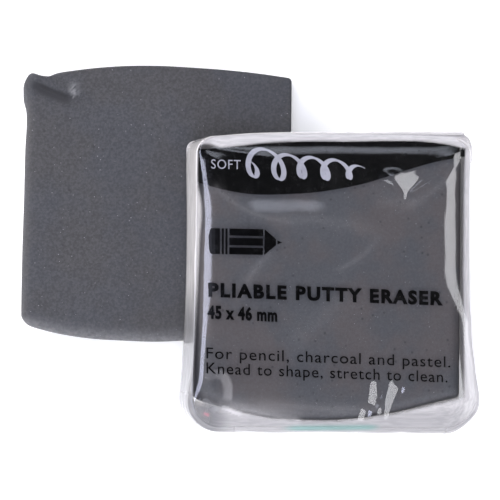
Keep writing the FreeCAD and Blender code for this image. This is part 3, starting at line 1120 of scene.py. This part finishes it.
    def build_back(self, name: str, left: Curve, right: Curve, level: float, corners: Sequence[float],
                   seed: float) -> bpy.types.Object:
        """Builds one ply of the back film.

        Args:
            name: the piece's name.
            left, right: its side edges.
            level: its height.
            corners: its corner radii.
            seed: picks its waves.

        Returns:
            The piece.
        """
        draft = Draft()
        lattice = Lattice.of(graded(46, 6, 0.10), graded(70, 6, 0.08))
        bottom, top = lambda u: self.bottom(u) - 0.75, lambda u: self.top(u) - 0.4
        outline = Outline(left, right, bottom, top, tuple(corners))
        u, v = outline.points(lattice.s, lattice.t)
        draft.add(u, v, level + 0.04 * noise_field(u, v, 6, seed), run=v, across=u,
                  haze=0.10 + 0.5 * smoothstep(-0.2, 0.6, self.outside_slab(u, v)))
        draft.faces += lattice.faces(flip=True)
        return thicken(draft.piece(name, self.place, self.finishes.film), self.sheet)

    def build_sheet(self, name: str, across: Array, rows: Sequence[float],
                    shape: Callable[[Array, float], tuple[Array, Array, Array]], haze: float,
                    flip: bool = False) -> bpy.types.Object:
        """Builds a loose sheet of film from a rule for its points.

        Args:
            name: the piece's name.
            across: positions along each row.
            rows: positions from row to row.
            shape: U, V and W at each position.
            haze: how milky it is.
            flip: whether its front faces the other way.

        Returns:
            The piece.
        """
        draft, last = Draft(), None
        for row in rows:
            u, v, w = shape(across, row)
            ring = draft.add(u, v, w, haze=haze, run=across, across=60 + row * 7)
            if last is not None:
                pair = (ring, last) if flip else (last, ring)
                draft.faces += ring_faces(*pair, closed=False)
            last = ring
        return thicken(draft.piece(name, self.place, self.finishes.film), self.sheet)

    def head_line(self, across: Array) -> Array:
        """V of the front panel's upper rim at each U."""
        head = (self.skirt.out_v > 0) & (self.skirt.v > 0)
        order = np.argsort(self.skirt.u[head])
        return np.interp(across, self.skirt.u[head][order], self.skirt.v[head][order])

    def top_flap(self, across: Array, row: float) -> tuple[Array, Array, Array]:
        """Shape of the outer top flap, from the fold (0) to its free edge (1)."""
        fold = self.head_line(across)
        from_end = np.minimum(across - self.flap_ends[0], self.flap_ends[1] - across)
        trim = 0.5 + 0.5 * smoothstep(0, 3.2, from_end)
        w = self.front - (self.front - self.flap_end) * row * trim
        out = 0.30 * math.sin(math.pi * min(row * 1.1, 1) ** 0.6) + 0.10 * row
        out = out * (0.35 + 0.65 * smoothstep(-20, -12, across))
        out = out + 0.2 * smoothstep(4, 12, across) * math.sin(math.pi * min(row * 1.4, 1) ** 0.5)
        crumple = noise_field(across * 0.5, across * 0 + row * 4, 2.5, 71) * math.sin(math.pi * row)
        return across, fold + out + 0.08 * crumple, w

    def inner_flap(self, across: Array, row: float, end: int) -> tuple[Array, Array, Array]:
        """Shape of an inner flap, at the top (end 1) or the bottom (-1), from the back (row 0) up (1)."""
        foot = self.bottom(across) - self.creep(across, np.full(across.shape, -26.0)) + 0.15
        edge = self.head_line(across) - 0.2 if end > 0 else foot
        inward = -0.25 * end * math.sin(math.pi * row * 0.9)
        crumple = 0.08 * noise_field(across * 0.5, across * 0 + row * 4, 2.5, 77)
        return across, edge + inward + crumple * math.sin(math.pi * row), self.back + 6.1 * row + 0 * across

    def tuck(self, across: Array, row: float, side: int) -> tuple[Array, Array, Array]:
        """Shape of a top tuck: round the corner from the wall's end, then in behind the flap to a point."""
        wall = float((self.right if side > 0 else self.left)(np.array([21.8]))[0])
        path_u = smooth_curve((0, wall - side * 0.2), (0.12, wall - side * 0.6), (0.3, wall - side * 1.6),
                              (1, wall - side * 5.0))
        path_v = smooth_curve((0, 20.9), (0.12, 21.7), (0.3, 22.3), (1, 22.6))
        open_half = smooth_curve((0, 3.72), (0.3, 3.3), (1, 0.35))
        spread = (across - 0.5) * 2
        at = np.full(across.shape, row)
        sag = 0.12 * noise_field(across * 3, at * 6, 1.2, 80 + side)
        return path_u(at), path_v(at) - np.abs(sag), 4.05 + open_half(at) * spread

    def build(self) -> None:
        """Builds every film piece and puts it on its body."""
        settle(self.build_tube(), Body.WRAPPER, Slot.FILM,
               "film_front_panel", "film_left_wall", "film_right_wall")
        lap_left = smooth_curve((-26, -3.2), (0, -2.9), (24, -3.1))
        lap_right = smooth_curve((-26, 3.1), (0, 2.8), (24, 3.0))
        inner = self.build_back("film_back_inner", lambda v: self.left(v) + 0.05, lap_right, 0.27,
                                (5.0, 0.2, 0.2, 1.4), 51)
        settle(inner, Body.WRAPPER, Slot.FILM, "film_back_inner_ply")
        outer = self.build_back("film_back_outer", lap_left, lambda v: self.right(v) - 0.1, 0.12,
                                (0.2, 4.2, 1.4, 0.2), 57)
        settle(outer, Body.WRAPPER, Slot.FILM, "film_back_outer_ply")

        across = np.linspace(*self.flap_ends, 150)
        flap = self.build_sheet("film_top_flap", across, np.linspace(0, 1, 16), self.top_flap, 0.84)
        settle(flap, Body.TOP_FLAP, Slot.FILM, "film_top_outer_flap")
        inner = self.build_sheet("film_top_inner", across, np.linspace(0, 1, 10),
                                 lambda a, r: self.inner_flap(a, r, 1), 0.5, flip=True)
        settle(inner, Body.WRAPPER, Slot.FILM, "film_top_inner_flap")
        for side, name in ((-1, "left"), (1, "right")):
            tuck = self.build_sheet(f"film_top_{name}", np.linspace(0, 1, 30), np.linspace(0, 1, 30),
                                    lambda a, r: self.tuck(a, r, side), 0.7, flip=side < 0)
            settle(tuck, Body.WRAPPER, Slot.FILM, f"film_top_{name}_tuck")
        settle(self.build_curl(), Body.WRAPPER, Slot.FILM)
        self.build_bottom()

    def build_curl(self) -> bpy.types.Object:
        """Builds the rolled edge of film that stands up at the top right corner."""
        along = np.linspace(0, 1, 36)
        # U, V and W of the middle of the roll
        path = [smooth_curve(*zip((0, 0.35, 0.7, 1), values))(along) for values in (
            (21.5, 22.8, 23.75, 24.0), (22.6, 22.3, 21.0, 18.7), (8.3, 8.3, 8.1, 7.6))]
        away = np.stack([np.gradient(path[1]), -np.gradient(path[0])])
        away = away / np.hypot(*away)
        radius = 0.38 * np.sin(math.pi * np.clip(along * 0.85 + 0.1, 0, 1)) + 0.08
        draft, last = Draft(), None
        for turn in np.radians(np.linspace(-70, 215, 20)):
            out, up = radius * math.cos(turn), radius * math.sin(turn)
            ring = draft.add(path[0] + away[0] * out, path[1] + away[1] * out, path[2] + up,
                             haze=0.3, run=along * 4, across=80 + turn * 3)
            if last is not None:
                draft.faces += ring_faces(ring, last, closed=False)
            last = ring
        return thicken(draft.piece("film_corner_curl", self.place, self.finishes.film), self.sheet)

    def build_bottom(self) -> None:
        """Builds the end that the slab is pushed out of, which on the real wrapper folds flat against the
        faces when it opens.
        """
        rim = self.skirt
        foot_left, foot_right = self.wall_ends
        fold_left, fold_right = self.fold_ends
        low = rim.v < -15
        upright = (np.abs(rim.out_u) > 0.75) & (rim.v > -22.5)
        left = low & (rim.u < fold_left) & ~(upright & (rim.v > foot_left + 0.6))
        right = low & (rim.u > fold_right) & ~(upright & (rim.v > foot_right + 0.6))
        middle = low & (rim.u > fold_left - 0.4) & (rim.u < fold_right + 0.4)
        parts = (
            ("film_bottom_left", "film_bottom_left_fold", left, self.back),
            ("film_bottom_right", "film_bottom_right_fold", right, self.back),
            ("film_bottom_flap", "film_bottom_outer_flap", middle, self.flap_end),
        )
        for name, node, keep, foot_w in parts:
            piece = self.build_hanging(name, keep, foot_w, 90 + foot_w)
            settle(piece, Body.WRAPPER, Slot.FILM, node)
            self.flatten(piece)
        across = np.linspace(*self.fold_ends, 110)
        inner = self.build_sheet("film_bottom_inner", across, np.linspace(0, 1, 10),
                                 lambda a, r: self.inner_flap(a, r, -1), 0.5)
        settle(inner, Body.WRAPPER, Slot.FILM, "film_bottom_inner_flap")
        self.flatten(inner)

    def flatten(self, piece: bpy.types.Object) -> None:
        """Gives a piece its own copy of its mesh."""
        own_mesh(piece)


# -------------------------------------------------------------------------------------------- print


@dataclass
class FrontPrint:
    """Print on the front film, in the wrapper's frame and in millimetres."""

    finishes: Finishes
    film: FilmWrapper
    inside: float = 0.055  # depth of the header's print, on the back of the film
    outside: float = -0.03  # depth of the type, on the face of the film
    ink: float = 0.02
    cell: float = 0.7
    cap_share: float = 0.729  # height of a capital, out of the size of the type

    def lay(self, flat: bmesh.types.BMesh, name: str, material: bpy.types.Material,
            depth: float) -> bpy.types.Object:
        """Cuts a flat shape small and lays it along the film.

        Args:
            flat: the shape in U and V, with its own small heights in W.
            name: the piece's name.
            material: its ink.
            depth: how far below the film's face it lies.

        Returns:
            The piece.
        """
        low = [min(point.co[k] for point in flat.verts) for k in range(2)]
        high = [max(point.co[k] for point in flat.verts) for k in range(2)]
        for k in range(2):
            for at in np.arange(low[k] + self.cell / 2, high[k], self.cell):
                where, across = Vector((0, 0, 0)), Vector((0, 0, 0))
                where[k], across[k] = at, 1
                everything = flat.verts[:] + flat.edges[:] + flat.faces[:]
                bmesh.ops.bisect_plane(flat, geom=everything, plane_co=where, plane_no=across)
        bmesh.ops.triangulate(flat, faces=flat.faces[:])
        for point in flat.verts:
            hit = self.film.surface.ray_cast(Vector((point.co.x, point.co.y, 50)), Vector((0, 0, -1)))[0]
            point.co.z += (hit.z if hit else self.film.front) - depth
        mesh = bpy.data.meshes.new(name)
        flat.to_mesh(mesh)
        flat.free()
        mesh.transform(self.film.place)
        mesh.shade_flat()
        mesh.materials.append(material)
        piece = bpy.data.objects.new(name, mesh)
        bpy.context.scene.collection.objects.link(piece)
        return thicken(piece, self.ink)

    def letters(self, flat: bmesh.types.BMesh, text: str, left: float, right: float, base: float,
                slope: float, height: float, weight: float, spread: float = 1.1) -> None:
        """Adds a line of type.

        Args:
            flat: the shape to add to.
            text: the line.
            left, right: where it begins and ends.
            base: height of its baseline at the left.
            slope: how its baseline rises.
            height: height of a capital.
            weight: how much thicker its strokes are, out of the size of the type.
            spread: how far apart its letters are set.
        """
        curve = bpy.data.curves.new("type", "FONT")
        curve.body, curve.offset, curve.fill_mode, curve.resolution_u = text, weight, "FRONT", 4
        curve.space_character = spread
        holder = bpy.data.objects.new("type", curve)
        bpy.context.scene.collection.objects.link(holder)
        mesh = bpy.data.meshes.new_from_object(holder.evaluated_get(bpy.context.evaluated_depsgraph_get()))
        bpy.data.objects.remove(holder)
        start, end = min(p.co.x for p in mesh.vertices), max(p.co.x for p in mesh.vertices)
        wide, tall = (right - left) / (end - start), height / self.cap_share
        for point in mesh.vertices:
            u = left + (point.co.x - start) * wide
            point.co = (u, base + slope * (u - left) + point.co.y * tall, 0)
        flat.from_mesh(mesh)
        bpy.data.meshes.remove(mesh)

    @staticmethod
    def shape(flat: bmesh.types.BMesh, corners: Iterable[Point]) -> None:
        """Adds a flat shape, given counter-clockwise."""
        flat.faces.new([flat.verts.new((u, v, 0)) for u, v in corners])

    def band(self) -> bmesh.types.BMesh:
        """The black band across the head, bowed below and following the slab's edge above."""
        flat = bmesh.new()
        lower = smooth_curve((-22.9, 15.2), (-18.5, 14.0), (-14.1, 13.35), (-8.3, 13.35), (-1.5, 13.9),
                             (6.0, 15.35), (11.8, 17.15), (17.6, 18.8), (23.0, 19.75))
        across = np.linspace(-22.95, 22.95, 80)
        low, high = lower(across), WRAPPED_SLAB.top(across) + 0.12
        rows = [[flat.verts.new((u, a + (b - a) * k, 0)) for u, a, b in zip(across, low, high)]
                for k in np.linspace(0, 1, 14)]
        for first, second in zip(rows[:-1], rows[1:]):
            for k in range(len(across) - 1):
                flat.faces.new((first[k], first[k + 1], second[k + 1], second[k]))
        return flat

    def scribble(self) -> bmesh.types.BMesh:
        """A looped brush scribble, thick on its down strokes."""
        flat = bmesh.new()
        first, last = -0.35, 4.6  # turns of the loop at its two ends
        steps = np.linspace(first, last, 420)
        angle = steps * 2 * math.pi
        reach = smooth_curve((-0.5, 0.4), (0.0, 2.2), (0.6, 2.5), (1.4, 1.9), (3.5, 1.55), (4.7, 0.7))(steps)
        pitch = 4.05  # from loop to loop
        u = -13.6 + pitch * steps - reach * 0.78 * np.sin(angle)
        v = 18.35 - 0.26 * steps - reach * np.cos(angle + 0.25)
        du, dv = np.gradient(u), np.gradient(v)
        length = np.hypot(du, dv)
        heavy = np.abs(dv * 0.9 + du * 0.3) / length
        ends = smoothstep(first, first + 0.25, steps) * (1 - smoothstep(last - 0.35, last, steps))
        half = (0.17 + 0.30 * heavy) * (0.25 + 0.75 * ends)
        lift = 0.012 * (steps - first)  # keeps the strokes apart where they cross
        sides = [[flat.verts.new((a - side * s * d / n, b + side * s * c / n, w))
                  for a, b, c, d, n, s, w in zip(u, v, du, dv, length, half, lift)] for side in (1, -1)]
        for k in range(len(steps) - 1):
            flat.faces.new((sides[1][k], sides[1][k + 1], sides[0][k + 1], sides[0][k]))
        return flat

    def pencil(self, left: float, base: float, slope: float) -> bmesh.types.BMesh:
        """A plain pencil pictogram."""
        flat = bmesh.new()

        def box(a: float, b: float, c: float, d: float) -> None:
            """Adds an upright box from a to b across and c to d up."""
            self.shape(flat, ((a, c), (b, c), (b, d), (a, d)))

        box(0.35, 1.7, 0.9, 3.7)
        self.shape(flat, [(0.35 + 1.4 * math.cos(k) * 0.35, 2.3 + 1.4 * math.sin(k))
                          for k in np.linspace(math.pi / 2, 3 * math.pi / 2, 12)])
        box(2.0, 2.35, 0.9, 3.7)
        box(2.6, 2.95, 0.9, 3.7)
        for low, high in ((0.9, 1.65), (1.9, 2.7), (2.95, 3.7)):
            box(3.25, 8.9, low, high)
        self.shape(flat, ((9.15, 0.9), (11.1, 1.97), (11.1, 2.63), (9.15, 3.7)))
        self.shape(flat, ((11.35, 2.1), (12.2, 2.3), (11.35, 2.5)))
        for point in flat.verts:
            point.co.y = base + slope * point.co.x + (point.co.y - 0.9) * 1.5
            point.co.x += left
        return flat

    def build(self) -> None:
        """Builds every printed piece."""
        black, white = self.finishes.black, self.finishes.white
        band = self.lay(self.band(), "print_band", black, self.inside)
        settle(band, Body.WRAPPER, Slot.BLACK, "printed_header_band")
        flat = self.scribble()
        self.letters(flat, "SOFT", -20.9, -15.9, 17.5, -0.02, 1.6, 0.0)
        for point in flat.verts:
            point.co.z += self.ink + 0.004
        scribble = self.lay(flat, "print_scribble", white, self.inside)
        settle(scribble, Body.WRAPPER, Slot.WHITE, "printed_flourish")
        pencil = self.lay(self.pencil(-21.1, 3.55, -0.02), "print_pencil", black, self.outside)
        settle(pencil, Body.WRAPPER, Slot.BLACK, "printed_emblem")
        lines = (
            ("print_title", "printed_title", (
                ("PLIABLE PUTTY ERASER", -21.3, 18.9, -3.35, -0.0395, 2.2, 0.045, 1.2),)),
            ("print_size", "printed_size_line", (
                ("45 x 46 mm", -21.5, -9.7, -6.95, -0.049, 2.1, 0.04, 1.1),)),
            ("print_notes", "printed_notes", (
                ("For pencil, charcoal and pastel.", -21.7, 20.2, -13.55, -0.043, 1.92, 0.0),
                ("Knead to shape, stretch to clean.", -21.7, 19.7, -16.0, -0.0445, 1.92, 0.0))),
        )
        for name, node, rows in lines:
            flat = bmesh.new()
            for row in rows:
                self.letters(flat, *row)
            settle(self.lay(flat, name, black, self.outside), Body.WRAPPER, Slot.BLACK, node)


@dataclass(frozen=True)
class Softbox:
    """A soft rectangular light that faces the set, with its place and size in millimetres."""

    name: str
    at: tuple[float, float, float]
    size: Point
    radiance: float  # beside a white surface's 1
    colour: tuple[float, float, float]
    soft: float = 0.08  # how far in from its edges it is at its full brightness, out of its size

    def build(self) -> None:
        """Builds the light."""
        light = bpy.data.lights.new(self.name, "AREA")
        light.shape = "RECTANGLE"
        light.size, light.size_y = self.size[0] * MM, self.size[1] * MM
        light.energy = self.radiance * math.pi * light.size * light.size_y
        light.color = self.colour
        lamp = bpy.data.objects.new(self.name, light)
        lamp.location = Vector(self.at) * MM
        light.use_nodes = True
        g = Graph(light.node_tree)
        place = g.add("ShaderNodeNewGeometry").outputs["Parametric"]
        spot = g.add("ShaderNodeSeparateXYZ", {0: place}).outputs
        from_middle = [g.math("ABSOLUTE", g.math("SUBTRACT", spot[k], 0.5)) for k in (0, 1)]
        fall = g.math("MULTIPLY", *(g.ramp(g.math("SUBTRACT", 0.5, a), 0.0, self.soft) for a in from_middle))
        g.tree.links.new(fall, light.node_tree.nodes["Emission"].inputs["Strength"])
        away = Vector(self.at).normalized()
        across = Vector((0, 1, 0)).cross(away).normalized()
        lamp.rotation_mode = "QUATERNION"
        lamp.rotation_quaternion = Matrix((across, away.cross(across), away)).transposed().to_quaternion()
        lamp.visible_camera = False
        bpy.context.scene.collection.objects.link(lamp)


@dataclass
class Studio:
    """Floor, soft lights and the camera straight above."""

    base: Vector
    field_width: float = 83.3333  # millimetres across the picture, at the bare slab's upper face
    camera_height: float = 650.0
    floor_reach: float = 3.0  # metres
    lights: tuple[Softbox, ...] = (
        Softbox("overhead", (-25, 0, 520), (205, 580), 5.6, (0.76, 0.79, 1.0), 0.2),
        Softbox("north_west", (-330, 330, 400), (320, 320), 4.6, (1.0, 0.98, 0.96)),
        Softbox("south_west", (-330, -330, 400), (320, 320), 3.2, (1.0, 0.98, 0.96)),
        Softbox("west_upper", (-520, 260, 230), (260, 260), 6.2, (1.0, 0.98, 0.99)),
        Softbox("west_lower", (-520, -260, 230), (260, 260), 2.2, (1.0, 0.98, 0.98)),
        Softbox("north", (310, 245, 500), (260, 190), 1.85, (0.82, 0.86, 1.0), 0.40),
        Softbox("back", (-140, 500, 330), (420, 220), 4.2, (1.0, 0.99, 0.95)),
        Softbox("right", (470, 20, 400), (170, 440), 4.2, (0.97, 0.97, 1.0), 0.15),
        Softbox("south", (60, -420, 430), (500, 250), 3.0, (0.93, 0.95, 1.0), 0.1),
        Softbox("front_low", (-40, -560, 240), (520, 220), 1.8, (1.0, 0.99, 0.96)),
    )

    def build(self) -> None:
        """Builds the studio."""
        self.floor()
        self.world()
        for light in self.lights:
            light.build()
        self.camera()

    def floor(self) -> None:
        """A plain pale floor."""
        mesh = bpy.data.meshes.new("floor")
        reach = self.floor_reach
        corners = [(-reach, -reach, 0), (reach, -reach, 0), (reach, reach, 0), (-reach, reach, 0)]
        mesh.from_pydata(corners, [], [(0, 1, 2, 3)])
        material, g = new_material("floor_paper")
        where = g.add("ShaderNodeTexCoord").outputs["Object"]
        tone = g.mix(g.noise(where, 40, 2), (0.93, 0.93, 0.93, 1), (0.95, 0.95, 0.95, 1))
        shader = g.add("ShaderNodeBsdfPrincipled", {
            "Base Color": tone, "Roughness": 0.9, "Specular IOR Level": 0.1, "Emission Color": (1, 1, 1, 1),
            "Emission Strength": 0.36})
        g.show(shader.outputs[0])
        mesh.materials.append(material)
        floor = bpy.data.objects.new("floor", mesh)
        bpy.context.scene.collection.objects.link(floor)

    def world(self) -> None:
        """A dim, even room."""
        world = bpy.data.worlds.new("room")
        world.use_nodes = True
        background = world.node_tree.nodes["Background"]
        background.inputs["Color"].default_value = (0.93, 0.95, 1.0, 1)
        background.inputs["Strength"].default_value = 0.04
        bpy.context.scene.world = world

    def camera(self) -> None:
        """The camera straight above, framed on the bare slab's upper face."""
        data = bpy.data.cameras.new("above")
        data.sensor_width = 36.0
        data.lens = data.sensor_width * self.camera_height / self.field_width
        data.clip_start, data.clip_end = 0.01, 10.0
        camera = bpy.data.objects.new("above", data)
        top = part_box("bare_eraser_slab")[1][2]
        camera.location = (self.base.x + 15.5 * MM, self.base.y - 8.33 * MM, top + self.camera_height * MM)
        bpy.context.scene.collection.objects.link(camera)
        bpy.context.scene.camera = camera
        bpy.context.scene.view_settings.view_transform = "Standard"


BARE_SLAB = PuttySlab(
    "bare_putty",
    left=smooth_curve((-21, -22.75), (-12, -22.6), (0, -22.25), (10, -22.0), (14, -21.8), (16, -21.85),
                      (18.3, -22.3), (20, -22.35)),
    right=smooth_curve((-21, 22.2), (0, 22.3), (20, 22.45)),
    bottom=smooth_curve((-22.5, -20.75), (-16.9, -22.25), (-11.3, -23.13), (-5.6, -23.5), (0, -23.67),
                        (5.6, -23.4), (11.3, -22.8), (16.9, -21.8), (22.5, -20.5)),
    top=smooth_curve((-22.5, 20.3), (-16.9, 21.2), (-11.3, 21.95), (-5.6, 22.37), (0, 22.4), (5.6, 22.12),
                     (11.3, 21.7), (16.9, 21.1), (22.5, 20.3)),
    corner=1.9,
    pinched=True,
)
WRAPPED_SLAB = PuttySlab(
    "wrapped_putty",
    left=smooth_curve((-21, -22.85), (0, -22.6), (20, -22.2)),
    right=smooth_curve((-21, 22.6), (0, 22.7), (20, 22.85)),
    bottom=smooth_curve((-22.6, -20.2), (-15.5, -22.4), (-11.8, -23.3), (-5, -23.85), (1, -23.9),
                        (7.5, -23.4), (11.8, -22.7), (17.6, -21.4), (22.6, -20.4)),
    top=smooth_curve((-23.2, 20.5), (-16.9, 20.95), (-11.8, 21.55), (-6.6, 21.85), (2, 21.95), (10.3, 22.1),
                     (15.3, 22.05), (18.2, 21.8), (20.5, 21.45), (22.9, 20.9)),
    low=0.4, high=7.76, seed=13.0, edges=(2.3, 2.4, 1.5, 1.0), corner=1.8,
)
FOLD_V, FOLD_W = 23.3, 8.15  # the top flap's hinge in the wrapper's frame
SPECKS = (("bare_specks", Body.BARE, 4), ("wrapped_specks", Body.WRAPPED, 9))  # name, body and seed
SPECK_DENSITY, SPECK_SIZE = 110000, 0.09 * MM


def main() -> None:
    """Builds the set, piece by piece."""
    logging.basicConfig(level=logging.INFO, format="%(name)s: %(message)s")
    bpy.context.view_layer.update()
    finishes = Finishes()
    wrap = WrapFrame.from_hinge(FOLD_V, FOLD_W)

    mount = next(m for m in frame["record"]["mounts"] if m["name"] == "base")
    table = Matrix.Translation(Vector(mount["pos_m"])) @ Matrix.Scale(MM, 4)
    bare = BARE_SLAB.build(table, finishes.putty)
    settle(bare, Body.BARE, Slot.PUTTY, "bare_eraser_slab")
    # The wrapped slab takes the brightened copy: painted light that makes up for the light the film holds
    # back
    wrapped = WRAPPED_SLAB.build(wrap.matrix(), finishes.putty_brightened_under_film)
    settle(wrapped, Body.WRAPPED, Slot.PUTTY, "wrapped_eraser_slab")

    crumbs = CrumbScatter()
    for host, (name, body, seed) in zip((bare, wrapped), SPECKS):
        specks = crumbs.scatter(host, name, SPECK_DENSITY, SPECK_SIZE, seed, finishes.crumb)
        settle(specks, body, Slot.PUTTY)

    film = FilmWrapper(finishes, wrap.matrix())
    film.build()
    FrontPrint(finishes, film).build()
    Studio(Vector(mount["pos_m"])).build()


if __name__ == "__main__":
    main()
